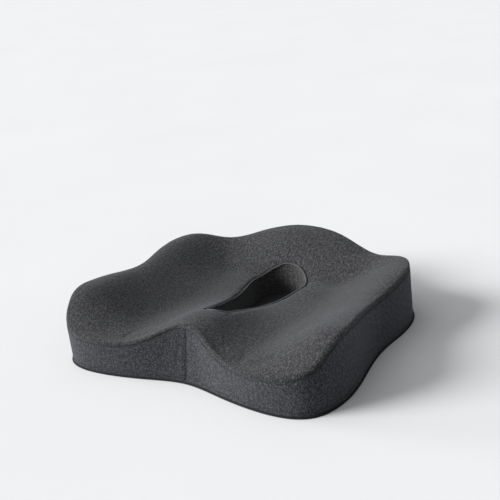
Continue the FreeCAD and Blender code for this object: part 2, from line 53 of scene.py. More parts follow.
# ---------------------------------------------------------------- sizes
COLUMNS = 400                  # mesh columns round the cushion
BACK_COLUMNS = 60              # of these, the columns over the back band
BAND_ANGLE = math.radians(24)  # half of the angle that the back band spans
WALL_ROWS = 12                 # rows of points up the middle of the walls
TOP_ROWS = 46                  # rows from the rim to the relief hole
SLEEVE_ROWS = 15
BOTTOM_ROWS = 24
EDGE_ROUND = 6.5 * MM          # rounding of the rim between the top and the walls
BEAD = 1.25 * MM               # radius of the rolled edge round the relief hole
HOLE_ROUND = 3.0 * MM          # rounding of the top panel beside that edge
BASE_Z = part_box("cover_bottom_panel")[0].z
CLOTH = 1.6 * MM               # thickness of the padded knit
TURN_IN = 2.4 * MM             # how deep the edges of a panel turn into a seam
GROOVE = 1.3 * MM              # depth of the valley along a seam
GROOVE_WIDE = 2.2 * MM
END_GROOVE = 0.75 * MM         # depth of the valley where two bands meet, upright
HOLE_GROOVE = 0.9 * MM         # depth of the valley beside the rolled edge
ZIP_Z = (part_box("zip_tape_upper")[0].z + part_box("zip_tape_lower")[1].z) / 2
SLOT_HALF = 7.0 * MM           # half height of the slot in the back band
SLOT_ANGLE = math.radians(22.2)
STITCH_PITCH = 3.4 * MM
STITCH_LONG = 2.5 * MM
STITCH_RADIUS = 0.38 * MM
RIM_STITCH_DROP = 1.8 * MM     # distance of the stitches below the rim seam
BASE_STITCH_Z = 8.0 * MM       # height of the stitches above the bottom edge
HOLE_STITCH_OUT = 3.4 * MM     # distance of the stitches from the rolled edge
FOOT_STITCH_OUT = 4.5 * MM     # the same round the foot of the relief hole
OFF_FLOOR = 0.3 * MM           # the cloth keeps this far above the floor

# ---------------------------------------------------------------- reading the CAD surfaces


def bvh_of(*names):
    """One search tree over several CAD nodes."""
    points, faces = [], []
    for name in names:
        mesh = NODES[name].data
        first = len(points)
        points += [v.co.copy() for v in mesh.vertices]
        faces += [[first + i for i in p.vertices] for p in mesh.polygons]
    return BVHTree.FromPolygons(points, faces)


WALLS = bvh_of("side_band_left", "side_band_right", "back_band_upper", "back_band_lower")
BASE = bvh_of("cover_bottom_panel")
SLEEVE = bvh_of("relief_hole_sleeve")
TOP = bvh_of("cover_top_panel", "relief_hole_sleeve")


def top_z(x, y):
    """Height of the top surface."""
    hit = TOP.ray_cast(Vector((x, y, 0.3)), Vector((0, 0, -1)))[0]
    if hit is None:
        hit = TOP.find_nearest(Vector((x, y, 0.07)))[0]
    return hit.z


def closed_line(points, counts, stops=()):
    """A closed line from the front centre, resampled to equal steps between the stops."""
    middle = (points[:1] + points[-1:]) / 2
    loop = np.vstack([middle, points, middle])
    run = np.concatenate([[0], np.cumsum(np.linalg.norm(np.diff(loop, axis=0), axis=1))])
    keys = [run[np.argmin(np.linalg.norm(loop - stop, axis=1))] for stop in stops]
    spans = zip([0.0] + keys, keys + [run[-1]], counts)
    want = np.concatenate([np.linspace(start, end, count, endpoint=False) for start, end, count in spans])
    return np.stack([np.interp(want, run, loop[:, i]) for i in range(2)], axis=1)


def polar_hits(tree, centre, z, outside):
    """Where rays at many angles meet a wall, from the front centre round to the right."""
    found = []
    step = math.pi / 1440
    for angle in np.arange(-math.pi / 2 + step / 2, 1.5 * math.pi, step):
        away = Vector((math.cos(angle), math.sin(angle), 0))
        start = Vector((*centre, z))
        if outside:
            hit = tree.ray_cast(start + away * 0.4, -away)[0]
        else:
            hit = tree.ray_cast(start, away)[0]
        found.append((hit.x, hit.y))
    return np.array(found)


ARC_CENTRE = Vector(frame["joints"][0]["pos_m"]).xy
ARC_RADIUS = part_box("cover_bottom_panel")[1].y - ARC_CENTRE.y
LEFT_SEAM = (COLUMNS + BACK_COLUMNS) // 2
RIGHT_SEAM = COLUMNS - LEFT_SEAM


def on_arc(angle, reach=ARC_RADIUS):
    """Place in plan at an angle from +Y towards +X about the centre of the back arc."""
    return np.array([reach * math.sin(angle), ARC_CENTRE.y + reach * math.cos(angle)])


OUTLINE = closed_line(
    polar_hits(BASE, (0, 0), BASE_Z + MM, True),
    (RIGHT_SEAM, BACK_COLUMNS, RIGHT_SEAM),
    (on_arc(BAND_ANGLE), on_arc(-BAND_ANGLE)),
)
HOLE = closed_line(polar_hits(SLEEVE, (0, 0.03), 0.03, False), (COLUMNS,))


def plan_normals(line):
    along = np.roll(line, -1, axis=0) - np.roll(line, 1, axis=0)
    along /= np.linalg.norm(along, axis=1)[:, None]
    return np.stack([along[:, 1], -along[:, 0]], axis=1)


NORMALS = plan_normals(OUTLINE)


def wall_hit(k, z):
    """The wall's place in plan at a column and height."""
    out = Vector((*NORMALS[k], 0))
    along = Vector((-out.y, out.x, 0))
    for aside in (0, 0.6 * MM, -0.6 * MM):
        start = Vector((*OUTLINE[k], z)) + out * 0.03 + along * aside
        hit = WALLS.ray_cast(start, -out, 0.08)[0]
        if hit:
            return np.array((hit - along * aside).xy)
    return OUTLINE[k]


def wall_and_rim():
    """For each column: wall place low down, its shift per metre of height, and the rim's height."""
    low_z = 0.008
    low = np.array([wall_hit(k, low_z) for k in range(COLUMNS)])
    rim = np.array([top_z(*(low[k] - NORMALS[k] * 0.004)) for k in range(COLUMNS)])
    for _ in range(3):
        high = np.array([wall_hit(k, rim[k] - 0.006) for k in range(COLUMNS)])
        lean = (high - low) / (rim - 0.006 - low_z)[:, None]
        edge = low + lean * (rim - low_z)[:, None] - NORMALS * 0.0008
        rim = np.array([top_z(*place) for place in edge])
    return low - lean * low_z, lean, rim


WALL_FOOT, WALL_LEAN, RIM_Z = wall_and_rim()


def wall_at(z):
    """Wall points of all columns at heights z (one each)."""
    z = np.broadcast_to(z, (COLUMNS,))
    return np.column_stack([WALL_FOOT + WALL_LEAN * z[:, None], z])


def bezier(start, corner, end, count):
    """Rows of a rounded corner, without its first and last."""
    rows = []
    for part in np.linspace(0, 1, count + 2)[1:-1]:
        rows.append(start * (1 - part) ** 2 + corner * 2 * part * (1 - part) + end * part**2)
    return rows


def on_top(plan):
    return np.column_stack([plan, [top_z(x, y) for x, y in plan]])


def make_grid():
    """Rows of points round the whole cover, and the row numbers where its pieces begin."""
    rows, marks = [], {}
    seam = wall_at(RIM_Z - EDGE_ROUND)
    corner = wall_at(RIM_Z)
    inward = HOLE - corner[:, :2]
    inward /= np.linalg.norm(inward, axis=1)[:, None]
    shoulder = on_top(corner[:, :2] + inward * EDGE_ROUND)
    hole_out = plan_normals(HOLE)
    hole_edge = on_top(HOLE + hole_out * 2 * BEAD)
    lip = on_top(hole_edge[:, :2] + hole_out * HOLE_ROUND)
    hole_seam = hole_edge - [0, 0, 1.5 * MM]
    bead_centre = np.column_stack([HOLE + hole_out * BEAD, hole_edge[:, 2] - 0.9 * MM])
    hole_foot = np.column_stack([HOLE, np.full(COLUMNS, BASE_Z)])
    base = wall_at(BASE_Z)

    marks["base"] = 0
    near_base = [0, 1.5, 3.5, 6.5]
    rows += [wall_at(BASE_Z + step * MM) for step in near_base]
    near_seam = [7.0, 4.0, 2.0, 0.9]
    low = BASE_Z + 10 * MM
    high = RIM_Z - EDGE_ROUND - 10 * MM
    for part in np.linspace(0, 1, WALL_ROWS):
        rows.append(wall_at(low + (high - low) * part))
    rows += [wall_at(RIM_Z - EDGE_ROUND - step * MM) for step in near_seam]
    marks["rim_seam"] = len(rows)
    rows.append(seam)
    rows += bezier(seam, corner, shoulder, 6)
    marks["shoulder"] = len(rows)
    for part in np.linspace(0, 1, TOP_ROWS) ** 0.97:
        plan = shoulder[:, :2] * (1 - part) + lip[:, :2] * part
        rows.append(on_top(plan))
    marks["lip"] = len(rows) - 1
    rows += bezier(lip, hole_edge, hole_seam, 4)
    marks["hole_seam"] = len(rows)
    rows.append(hole_seam)
    for turn in np.radians([160, 130, 100, 70, 40, 15, 0]):
        aside = -hole_out * BEAD * math.cos(turn)
        rows.append(bead_centre + np.column_stack([aside, np.full(COLUMNS, BEAD * math.sin(turn))]))
    marks["bead_foot"] = len(rows)
    for part in np.linspace(0, 1, SLEEVE_ROWS)[1:]:
        rows.append(rows[marks["bead_foot"] - 1] * (1 - part) + hole_foot * part)
    marks["hole_foot"] = len(rows) - 1
    for part in np.linspace(0, 1, BOTTOM_ROWS)[1:-1]:
        rows.append(hole_foot * (1 - part) + base * part)
    return np.array(rows), marks


GRID, MARKS = make_grid()

# ---------------------------------------------------------------- mesh helpers


def grid_faces(rows, columns, closed_rows, closed_columns):
    faces = []
    for r in range(rows if closed_rows else rows - 1):
        for c in range(columns if closed_columns else columns - 1):
            r2, c2 = (r + 1) % rows, (c + 1) % columns
            faces.append((r * columns + c, r * columns + c2, r2 * columns + c2, r2 * columns + c))
    return faces


def new_object(name, points, faces, material=None, smooth=True):
    mesh = bpy.data.meshes.new(name)
    mesh.from_pydata([tuple(p) for p in points], [], faces)
    mesh.validate()
    if smooth:
        mesh.polygons.foreach_set("use_smooth", [True] * len(mesh.polygons))
    obj = bpy.data.objects.new(name, mesh)
    bpy.context.scene.collection.objects.link(obj)
    if material:
        mesh.materials.append(material)
    return obj


def apply_modifiers(obj):
    """Bakes an object's modifiers into its mesh."""
    bpy.context.view_layer.update()
    graph = bpy.context.evaluated_depsgraph_get()
    mesh = bpy.data.meshes.new_from_object(obj.evaluated_get(graph))
    obj.modifiers.clear()
    obj.data = mesh
    return obj


def normals_of(grid, closed_rows, closed_columns):
    """Outward normals of a grid of points."""
    def step(values, axis, closed):
        if closed:
            return np.roll(values, -1, axis=axis) - np.roll(values, 1, axis=axis)
        return np.gradient(values, axis=axis)
    across = step(grid, 1, closed_columns)
    up = step(grid, 0, closed_rows)
    normal = np.cross(across, up)
    return normal / (np.linalg.norm(normal, axis=2, keepdims=True) + 1e-12)


# ---------------------------------------------------------------- cloth simulation


def held_points(rows):
    """Points that stay put: seams, the rolled edge, the flat base and the surroundings of the zip."""
    held = np.zeros((rows, COLUMNS), bool)
    held[[MARKS["base"], MARKS["rim_seam"]]] = True
    held[MARKS["hole_seam"]:MARKS["bead_foot"]] = True
    held[MARKS["hole_foot"]:] = True
    held[:MARKS["rim_seam"], [0, RIGHT_SEAM, LEFT_SEAM]] = True
    beside_zip = np.abs(GRID[:MARKS["rim_seam"], :, 2] - ZIP_Z) < SLOT_HALF + 2 * MM
    beside_zip[:, :RIGHT_SEAM] = False
    beside_zip[:, LEFT_SEAM:] = False
    held[:MARKS["rim_seam"]] |= beside_zip
    return held


def puff(grid):
    """Fills the cover by a short cloth simulation and returns how far each point moved."""
    rows, columns = grid.shape[:2]
    faces = grid_faces(rows, columns, True, True)
    obj = new_object("cover_cloth", grid.reshape(-1, 3), faces)
    group = obj.vertex_groups.new(name="held")
    group.add(np.flatnonzero(held_points(rows)).tolist(), 1.0, "REPLACE")
    cloth = obj.modifiers.new("cloth", "CLOTH")
    settings = cloth.settings
    settings.vertex_group_mass = "held"
    settings.use_pressure = True
    settings.uniform_pressure_force = 4.0
    settings.effector_weights.gravity = 0
    settings.quality = 4
    settings.tension_stiffness = 12
    settings.compression_stiffness = 12
    settings.shear_stiffness = 6
    settings.bending_stiffness = 1.5
    cloth.point_cache.frame_start = 1
    cloth.point_cache.frame_end = 20
    scene = bpy.context.scene
    for number in range(1, 21):
        scene.frame_set(number)
    graph = bpy.context.evaluated_depsgraph_get()
    mesh = obj.evaluated_get(graph).to_mesh()
    moved = np.empty(len(mesh.vertices) * 3)
    mesh.vertices.foreach_get("co", moved)
    scene.frame_set(1)
    bpy.data.objects.remove(obj)
    move = moved.reshape(grid.shape) - grid
    normal = normals_of(grid, True, True)
    inward = np.minimum((move * normal).sum(axis=2), 0.0)
    return move - normal * inward[:, :, None]


def capped(move, limits):
    """Limits how far the points may move, with a soft stop."""
    size = np.linalg.norm(move, axis=2, keepdims=True)
    return move * limits * np.tanh(size / limits) / (size + 1e-9)


def panel_limits(rows):
    limits = np.full((rows, 1, 1), 2.0 * MM)
    limits[:MARKS["rim_seam"]] = 3.5 * MM
    limits[MARKS["shoulder"]:MARKS["lip"]] = 2.5 * MM
    limits[MARKS["hole_seam"]:] = 1.2 * MM
    return limits


COVER = GRID + capped(puff(GRID), panel_limits(len(GRID)))
print("cloth moved at most (mm)", round(float(np.abs(COVER - GRID).max() / MM), 2))


def with_grooves(cover):
    """Pulls the cover in along its seams."""
    out = cover.copy()
    normal = normals_of(cover, True, True)
    run = np.linalg.norm(np.diff(cover, axis=0), axis=2).mean(axis=1)
    place = np.concatenate([[0], np.cumsum(run)])
    for mark, depth in (("rim_seam", GROOVE), ("hole_seam", HOLE_GROOVE)):
        away = place - place[MARKS[mark]]
        out -= normal * (depth * np.exp(-((away / GROOVE_WIDE) ** 2)))[:, None, None]
    return out


def with_puckers(cover):
    """Small unevenness of the cloth: broad and soft everywhere, finer beside the sewn edges."""
    normal = normals_of(cover, True, True)
    run = np.concatenate([[0], np.cumsum(np.linalg.norm(np.diff(cover, axis=0), axis=2).mean(axis=1))])
    seams = [run[MARKS[mark]] for mark in ("base", "rim_seam", "hole_seam")]
    near = sum(np.exp(-(((run - place) / (9 * MM)) ** 2)) for place in seams)
    lift = np.zeros(cover.shape[:2])
    for r in range(MARKS["hole_foot"]):
        for c in range(COLUMNS):
            place = Vector(cover[r, c])
            lift[r, c] = 0.5 * MM * noise.noise(place * 22)
            lift[r, c] += 0.35 * MM * float(near[r]) * noise.noise(place * 95)
    lift[MARKS["hole_seam"]:MARKS["bead_foot"]] *= 0.3
    return cover + normal * lift[:, :, None]


COVER = with_grooves(with_puckers(COVER))
CLOTH_TREE = BVHTree.FromPolygons(COVER.reshape(-1, 3).tolist(), grid_faces(len(COVER), COLUMNS, True, True))

# ---------------------------------------------------------------- materials


class Nodes:
    """Short-hand for building a shader."""

    def __init__(self, name):
        self.material = bpy.data.materials.new(name)
        self.material.use_nodes = True
        self.tree = self.material.node_tree
        self.tree.nodes.clear()
        self.out = self.add("ShaderNodeOutputMaterial")
        self.bsdf = self.add("ShaderNodeBsdfPrincipled")
        self.tree.links.new(self.bsdf.outputs[0], self.out.inputs[0])

    def add(self, kind, **settings):
        node = self.tree.nodes.new(kind)
        for key, value in settings.items():
            setattr(node, key, value)
        return node

    def link(self, source, target):
        self.tree.links.new(source, target)

    def feed(self, socket, value):
        if isinstance(value, (int, float)):
            socket.default_value = value
        else:
            self.link(value, socket)

    def math(self, operation, a, b=0.0, c=0.0):
        node = self.add("ShaderNodeMath", operation=operation)
        for socket, value in zip(node.inputs, (a, b, c)):
            self.feed(socket, value)
        return node.outputs[0]

    def place(self):
        """Object coordinates, turned so that no flat stretch of cloth lies along the noise grid."""
        node = self.add("ShaderNodeMapping")
        self.link(self.add("ShaderNodeTexCoord").outputs["Object"], node.inputs["Vector"])
        node.inputs["Rotation"].default_value = (0.62, 0.95, 0.41)
        return node.outputs[0]

    def noise(self, vector, scale, detail=2.0, rough=0.5, space="3D"):
        node = self.add("ShaderNodeTexNoise", noise_dimensions=space)
        self.link(vector, node.inputs["Vector"])
        node.inputs["Scale"].default_value = scale
        node.inputs["Detail"].default_value = detail
        node.inputs["Roughness"].default_value = rough
        return node.outputs["Fac"]

    def ramp(self, value, stops):
        node = self.add("ShaderNodeValToRGB")
        ramp = node.color_ramp
        while len(ramp.elements) < len(stops):
            ramp.elements.new(0.5)
        for element, (place, colour) in zip(ramp.elements, stops):
            element.position = place
            element.color = (*colour, 1)
        self.link(value, node.inputs[0])
        return node.outputs[0]

    def mix(self, factor, a, b, blend="MIX"):
        node = self.add("ShaderNodeMix", data_type="RGBA", blend_type=blend)
        self.feed(node.inputs[0], factor)
        for socket, value in ((node.inputs[6], a), (node.inputs[7], b)):
            if isinstance(value, tuple):
                socket.default_value = (*value, 1)
            else:
                self.link(value, socket)
        return node.outputs[2]

    def bump(self, height, strength, distance):
        node = self.add("ShaderNodeBump")
        node.inputs["Strength"].default_value = strength
        node.inputs["Distance"].default_value = distance
        self.link(height, node.inputs["Height"])
        self.link(node.outputs[0], self.bsdf.inputs["Normal"])

    def set(self, **values):
        for key, value in values.items():
            self.bsdf.inputs[key.replace("_", " ")].default_value = value


def knit(name, dark, mid, light, wale=1.7 * MM, course=1.25 * MM, sheen=0.12, edge=None):
    """Heather knit: V-shaped loops, each a little lighter or darker, with brushed fibres over them.

    edge is a painted highlight: the lighter colour given to the cloth's rolled first edge, as if light catches it,
    if it has one.
    """
    n = Nodes(name)
    uv = n.add("ShaderNodeUVMap", uv_map="cloth").outputs[0]
    split = n.add("ShaderNodeSeparateXYZ")
    n.link(uv, split.inputs[0])
    place = n.place()
    waver = n.noise(place, 60, 2)
    column = n.math("ADD", n.math("DIVIDE", split.outputs[0], wale), n.math("MULTIPLY", waver, 1.6))
    cell = n.math("FRACT", column)
    side = n.math("ABSOLUTE", n.math("SUBTRACT", cell, 0.5))
    row = n.math("ADD", n.math("DIVIDE", split.outputs[1], course), n.math("MULTIPLY", side, 1.5))
    row = n.math("ADD", row, n.math("MULTIPLY", waver, 1.3))
    loop = n.math("SINE", n.math("MULTIPLY", row, 2 * math.pi))
    ridge = n.math("SINE", n.math("MULTIPLY", side, 2 * math.pi))
    height = n.math("MULTIPLY", n.math("ADD", n.math("MULTIPLY", loop, 0.5), 0.5), ridge)

    key = n.add("ShaderNodeCombineXYZ")
    halves = n.math("FLOOR", n.math("MULTIPLY", column, 2))
    n.link(halves, key.inputs[0])
    n.link(n.math("FLOOR", row), key.inputs[1])
    speck = n.add("ShaderNodeTexWhiteNoise", noise_dimensions="2D")
    n.link(key.outputs[0], speck.inputs["Vector"])
    fibre = n.noise(place, 2600, 3, 0.65)
    yarn = n.add("ShaderNodeMapping")
    n.link(uv, yarn.inputs["Vector"])
    yarn.inputs["Scale"].default_value = (1.0, 0.75, 1.0)
    fleck = n.noise(yarn.outputs[0], 560, 2, 0.6, "2D")
    patch = n.noise(yarn.outputs[0], 250, 1, 0.5, "2D")
    broad = n.noise(place, 14, 3, 0.55)
    layers = ((fleck, 1.5), (patch, 0.65), (speck.outputs["Value"], 0.35), (fibre, 0.5), (broad, 0.25))
    heather = 0.5
    for layer, share in layers:
        heather = n.math("MULTIPLY_ADD", n.math("SUBTRACT", layer, 0.5), share, heather)
    colour = n.ramp(heather, [(0.12, dark), (0.5, mid), (0.9, light)])
    # painted highlight: the first few millimetres of the cloth, its rolled edge, take the lighter edge colour as
    # if lit
    if edge:
        inner = n.math("MULTIPLY", n.math("SUBTRACT", split.outputs[1], 4.2 * MM), 1.6 / MM)
        inner = n.math("MINIMUM", n.math("MAXIMUM", inner, 0.0), 1.0)
        colour = n.mix(inner, n.mix(fibre, edge, mid), colour)
    # painted shade: the colour darkens in the hollows between the knit's loops
    deep = n.math("ADD", n.math("MULTIPLY", height, 0.45), 0.62)
    shade = n.add("ShaderNodeCombineColor")
    for socket in shade.inputs:
        n.link(deep, socket)
    colour = n.mix(1.0, colour, shade.outputs[0], "MULTIPLY")
    n.link(colour, n.bsdf.inputs["Base Color"])
    relief = n.math("ADD", n.math("MULTIPLY", height, 0.8), n.math("MULTIPLY", fibre, 0.5))
    n.bump(relief, 0.55, 0.5 * MM)
    rough = n.math("ADD", n.math("MULTIPLY", fibre, 0.12), 0.84)
    n.link(rough, n.bsdf.inputs["Roughness"])
    n.set(Sheen_Weight=sheen, Sheen_Roughness=0.45, Sheen_Tint=(0.8, 0.82, 0.9, 1), Specular_IOR_Level=0.2)
    return n.material


def weave(name, dark, light, pitch, rough=0.8, sheen=0.15, strength=0.5):
    """Plain close weave from two crossing sets of threads, in the object's own coordinates."""
    n = Nodes(name)
    place = n.add("ShaderNodeTexCoord").outputs["Object"]
    split = n.add("ShaderNodeSeparateXYZ")
    n.link(place, split.inputs[0])
    turn = 2 * math.pi / pitch
    warp = n.math("SINE", n.math("MULTIPLY", n.math("ADD", split.outputs[0], split.outputs[2]), turn))
    weft = n.math("SINE", n.math("MULTIPLY", n.math("SUBTRACT", split.outputs[1], split.outputs[2]), turn))
    cross = n.math("MULTIPLY", warp, weft)
    height = n.math("ADD", n.math("MULTIPLY", cross, 0.5), 0.5)
    fibre = n.noise(place, 1800, 3, 0.6)
    tone = n.math("ADD", n.math("MULTIPLY", height, 0.6), n.math("MULTIPLY", fibre, 0.4))
    n.link(n.ramp(tone, [(0.2, dark), (0.8, light)]), n.bsdf.inputs["Base Color"])
    n.bump(tone, strength, 0.3 * MM)
    n.link(n.math("ADD", n.math("MULTIPLY", fibre, 0.1), rough - 0.05), n.bsdf.inputs["Roughness"])
    n.set(Sheen_Weight=sheen, Sheen_Roughness=0.4, Specular_IOR_Level=0.12)
    return n.material


def thread(name, dark, light):
    """Twisted yarn: slanting plies along the stitch."""
    n = Nodes(name)
    place = n.place()
    twist = n.add("ShaderNodeTexWave", wave_type="BANDS", bands_direction="DIAGONAL")
    n.link(place, twist.inputs["Vector"])
    twist.inputs["Scale"].default_value = 420
    twist.inputs["Distortion"].default_value = 1.5
    n.link(n.ramp(twist.outputs["Fac"], [(0.2, dark), (0.9, light)]), n.bsdf.inputs["Base Color"])
    n.bump(twist.outputs["Fac"], 0.4, 0.15 * MM)
    n.link(n.math("ADD", n.math("MULTIPLY", n.noise(place, 900), 0.2), 0.5), n.bsdf.inputs["Roughness"])
    n.set(Sheen_Weight=0.05, Specular_IOR_Level=0.15)
    return n.material


def solid(name, dark, light, rough, metal=0.0, grain=700.0, strength=0.2, worn=None):
    """Plastic, rubber, lacquer or foam: tone and roughness vary with a fine grain."""
    n = Nodes(name)
    place = n.place()
    fine = n.noise(place, grain, 4, 0.6)
    broad = n.noise(place, grain / 12, 3, 0.6)
    tone = n.math("ADD", n.math("MULTIPLY", fine, 0.6), n.math("MULTIPLY", broad, 0.4))
    colour = n.ramp(tone, [(0.3, dark), (0.7, light)])
    if worn:
        edge = n.add("ShaderNodeNewGeometry").outputs["Pointiness"]
        rub = n.math("MULTIPLY", n.math("GREATER_THAN", edge, 0.56), broad)
        colour = n.mix(rub, colour, worn)
    n.link(colour, n.bsdf.inputs["Base Color"])
    n.bump(fine, strength, 0.1 * MM)
    n.link(n.math("ADD", n.math("MULTIPLY", fine, 0.2), rough - 0.1), n.bsdf.inputs["Roughness"])
    n.set(Metallic=metal)
    return n.material


MAT = {
    "knit_top": knit("knit_top", (0.008, 0.008, 0.008), (0.029, 0.029, 0.030), (0.092, 0.092, 0.095)),
    "knit_side": knit("knit_side", (0.010, 0.010, 0.011), (0.032, 0.033, 0.037), (0.090, 0.092, 0.103)),
    # painted light: the sleeve's tones are lighter than the top's knit, to brighten the shaded relief hole
    "sleeve_cloth": knit(
        "sleeve_cloth",
        (0.018, 0.018, 0.017),
        (0.042, 0.043, 0.041),
        (0.095, 0.097, 0.092),
        # painted highlight along the rolled edge round the relief hole
        edge=(0.16, 0.16, 0.16),
    ),
    "hole_floor": weave("hole_floor", (0.010, 0.010, 0.010), (0.030, 0.031, 0.030), 1.1 * MM, sheen=0.05),
    "bottom_cloth": weave("bottom_cloth", (0.012, 0.012, 0.013), (0.045, 0.045, 0.048), 1.1 * MM),
    "piping": weave("piping", (0.004, 0.004, 0.005), (0.015, 0.015, 0.017), 0.9 * MM, sheen=0.05),
    "grip_rubber": solid("grip_rubber", (0.016, 0.016, 0.018), (0.03, 0.03, 0.032), 0.5),
    "thread": thread("thread", (0.004, 0.004, 0.005), (0.02, 0.02, 0.023)),
    "zip_tape": weave("zip_tape", (0.01, 0.01, 0.011), (0.035, 0.035, 0.038), 0.8 * MM),
    "zip_teeth": solid("zip_teeth", (0.014, 0.014, 0.015), (0.03, 0.03, 0.032), 0.35, strength=0.1),
    "zip_metal": solid(
        "zip_metal",
        (0.02, 0.02, 0.021),
        (0.035, 0.035, 0.037),
        0.32,
        metal=0.6,
        grain=900,
        strength=0.1,
        worn=(0.4, 0.39, 0.37),
    ),
    "label": weave(
        "label", (0.30, 0.30, 0.29), (0.44, 0.44, 0.43), 0.5 * MM, rough=0.5, sheen=0.1, strength=0.3
    ),
    "foam": solid("foam", (0.68, 0.62, 0.48), (0.80, 0.75, 0.62), 0.9, grain=380.0, strength=0.5),
    "liner_cloth": weave("liner_cloth", (0.60, 0.60, 0.58), (0.80, 0.80, 0.78), 1.0 * MM),
}
for entry in frame["record"]["subparts"]:
    data = NODES[entry["node"]].data
    data.materials.clear()
    data.materials.append(MAT[entry["material_slot"]])

# ---------------------------------------------------------------- pieces of the cover


def ready(obj, nodes, body="cushion"):
    """Hangs a piece under the body it moves with and hides the CAD parts that it stands for."""
    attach(obj, body)
    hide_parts(*nodes)
    return obj


def add_uv(obj, coordinates):
    """Cloth coordinates in metres, so that the knit runs along each panel."""
    layer = obj.data.uv_layers.new(name="cloth")
    index = np.empty(len(obj.data.loops), int)
    obj.data.loops.foreach_get("vertex_index", index)
    layer.data.foreach_set("uv", np.asarray(coordinates)[index].ravel())


def run_uv(grid):
    """Distances run across and up a panel."""
    across = np.linalg.norm(np.diff(grid, axis=1), axis=2).mean(axis=0)
    up = np.linalg.norm(np.diff(grid, axis=0), axis=2)
    u = np.broadcast_to(np.concatenate([[0], np.cumsum(across)]), grid.shape[:2])
    v = np.vstack([np.zeros((1, grid.shape[1])), np.cumsum(up, axis=0)])
    return np.stack([u, v], axis=2).reshape(-1, 2)


def plan_uv(grid):
    """Plan coordinates, carried on at full length where the panel turns down at its edges."""
    flat = grid[:, :, :2] + 1.0
    middle = len(grid) // 2
    for rows in (range(middle, len(grid) - 1), range(middle, 0, -1)):
        for r in rows:
            other = r + (1 if rows.step > 0 else -1)
            step = grid[other] - grid[r]
            along = step[:, :2].copy()
            short = np.linalg.norm(along, axis=1) < 0.3 * np.linalg.norm(step, axis=1)
            before = flat[r] - flat[r - (other - r)]
            along[short] = before[short]
            along /= np.linalg.norm(along, axis=1)[:, None] + 1e-12
            flat[other] = flat[r] + along * np.linalg.norm(step, axis=1)[:, None]
    return flat.reshape(-1, 2)


def sheet(name, grid, slot, coordinates, closed=False):
    """A grid of points as a mesh with cloth coordinates."""
    faces = grid_faces(*grid.shape[:2], False, closed)
    obj = new_object(name, grid.reshape(-1, 3), faces, MAT[slot])
    add_uv(obj, coordinates)
    return obj


def seam_edge(grid, normal, row, inner):
    """Two rows that turn in behind a panel's edge row."""
    along = grid[row] - grid[inner]
    along /= np.linalg.norm(along, axis=1)[:, None]
    edge = grid[row] - normal[row] * TURN_IN * 0.5 + along * 0.15 * MM
    return [edge, edge - normal[row] * TURN_IN * 0.6 - along * 0.6 * MM]


def turned_in(grid, closed):
    """Adds the seam allowance at the first and the last row."""
    normal = normals_of(grid, False, closed)
    return np.array(seam_edge(grid, normal, 0, 1)[::-1] + list(grid) + seam_edge(grid, normal, -1, -2))


def sewn_ends(grid):
    """Rounds the two upright ends of a panel into their seams and turns them in."""
    grid = grid.transpose(1, 0, 2)[::-1]
    normal = normals_of(grid, False, False)

    def rounded(end, inner):
        rows = []
        for part, deep in ((0, 1), (0.25, 0.6), (0.55, 0.2)):
            toward = (grid[inner] - grid[end]) * part
            rows.append(grid[end] + toward - normal[end] * END_GROOVE * deep)
        return rows

    rows = rounded(0, 1) + list(grid[1:-1]) + rounded(-1, -2)[::-1]
    grid = turned_in(np.array(rows), False)
    return grid[::-1].transpose(1, 0, 2)


def thick_sheet(obj):
    """Smooths a sheet, gives it the padded knit's thickness behind its face, keeps it off the floor."""
    obj.modifiers.new("smooth", "SUBSURF").levels = 1
    thick = obj.modifiers.new("thick", "SOLIDIFY")
    thick.thickness = CLOTH
    thick.offset = -1
    apply_modifiers(obj)
    for vert in obj.data.vertices:
        vert.co.z = max(vert.co.z, OFF_FLOOR)
    return obj


def panel(name, grid, slot, nodes, closed=True, flat_uv=False):
    """A sewn panel of padded knit, its edges turned in."""
    if not closed:
        grid = sewn_ends(grid)
    grid = turned_in(grid, closed)
    coordinates = plan_uv(grid) if flat_uv else run_uv(grid)
    obj = sheet(name, grid, slot, coordinates, closed)
    return ready(thick_sheet(obj), nodes)


def make_cover():
    seam, hole, foot = MARKS["rim_seam"], MARKS["hole_seam"], MARKS["hole_foot"]
    top = panel("cover_top", COVER[seam:hole + 1], "knit_top", ["cover_top_panel"], flat_uv=True)
    panel("hole_sleeve", COVER[hole:foot + 1], "sleeve_cloth", ["relief_hole_sleeve"])
    bottom = np.concatenate([COVER[foot:], COVER[:1]])
    panel("cover_bottom", bottom, "bottom_cloth", ["cover_bottom_panel"], flat_uv=True)
    wall = COVER[:seam + 1]
    sides = {"right": range(RIGHT_SEAM + 1), "left": range(LEFT_SEAM, COLUMNS + 1)}
    for side, columns in sides.items():
        grid = wall[:, [c % COLUMNS for c in columns]]
        band = panel(f"band_{side}", grid, "knit_side", [f"side_band_{side}"], closed=False)


def slot_half(angle):
    """Half height of the slot in the back band at an angle; its ends are round."""
    inside = (SLOT_ANGLE - np.abs(angle)) * ARC_RADIUS / SLOT_HALF
    return SLOT_HALF * np.sqrt(1 - (1 - np.clip(inside, 0, 1)) ** 2)


def wall_column(place, heights):
    """Points up the finished wall at a column, which may lie between two mesh columns."""
    c = min(int(place), LEFT_SEAM - 1)
    part = place - c
    rows = MARKS["rim_seam"] + 1
    points = COVER[:rows, c] * (1 - part) + COVER[:rows, c + 1] * part
    z = GRID[:rows, c, 2] * (1 - part) + GRID[:rows, c + 1, 2] * part
    low, high = z[0], z[-1]
    wanted = heights(low, high)
    return np.stack([np.interp(wanted, z, points[:, i]) for i in range(3)], axis=1)


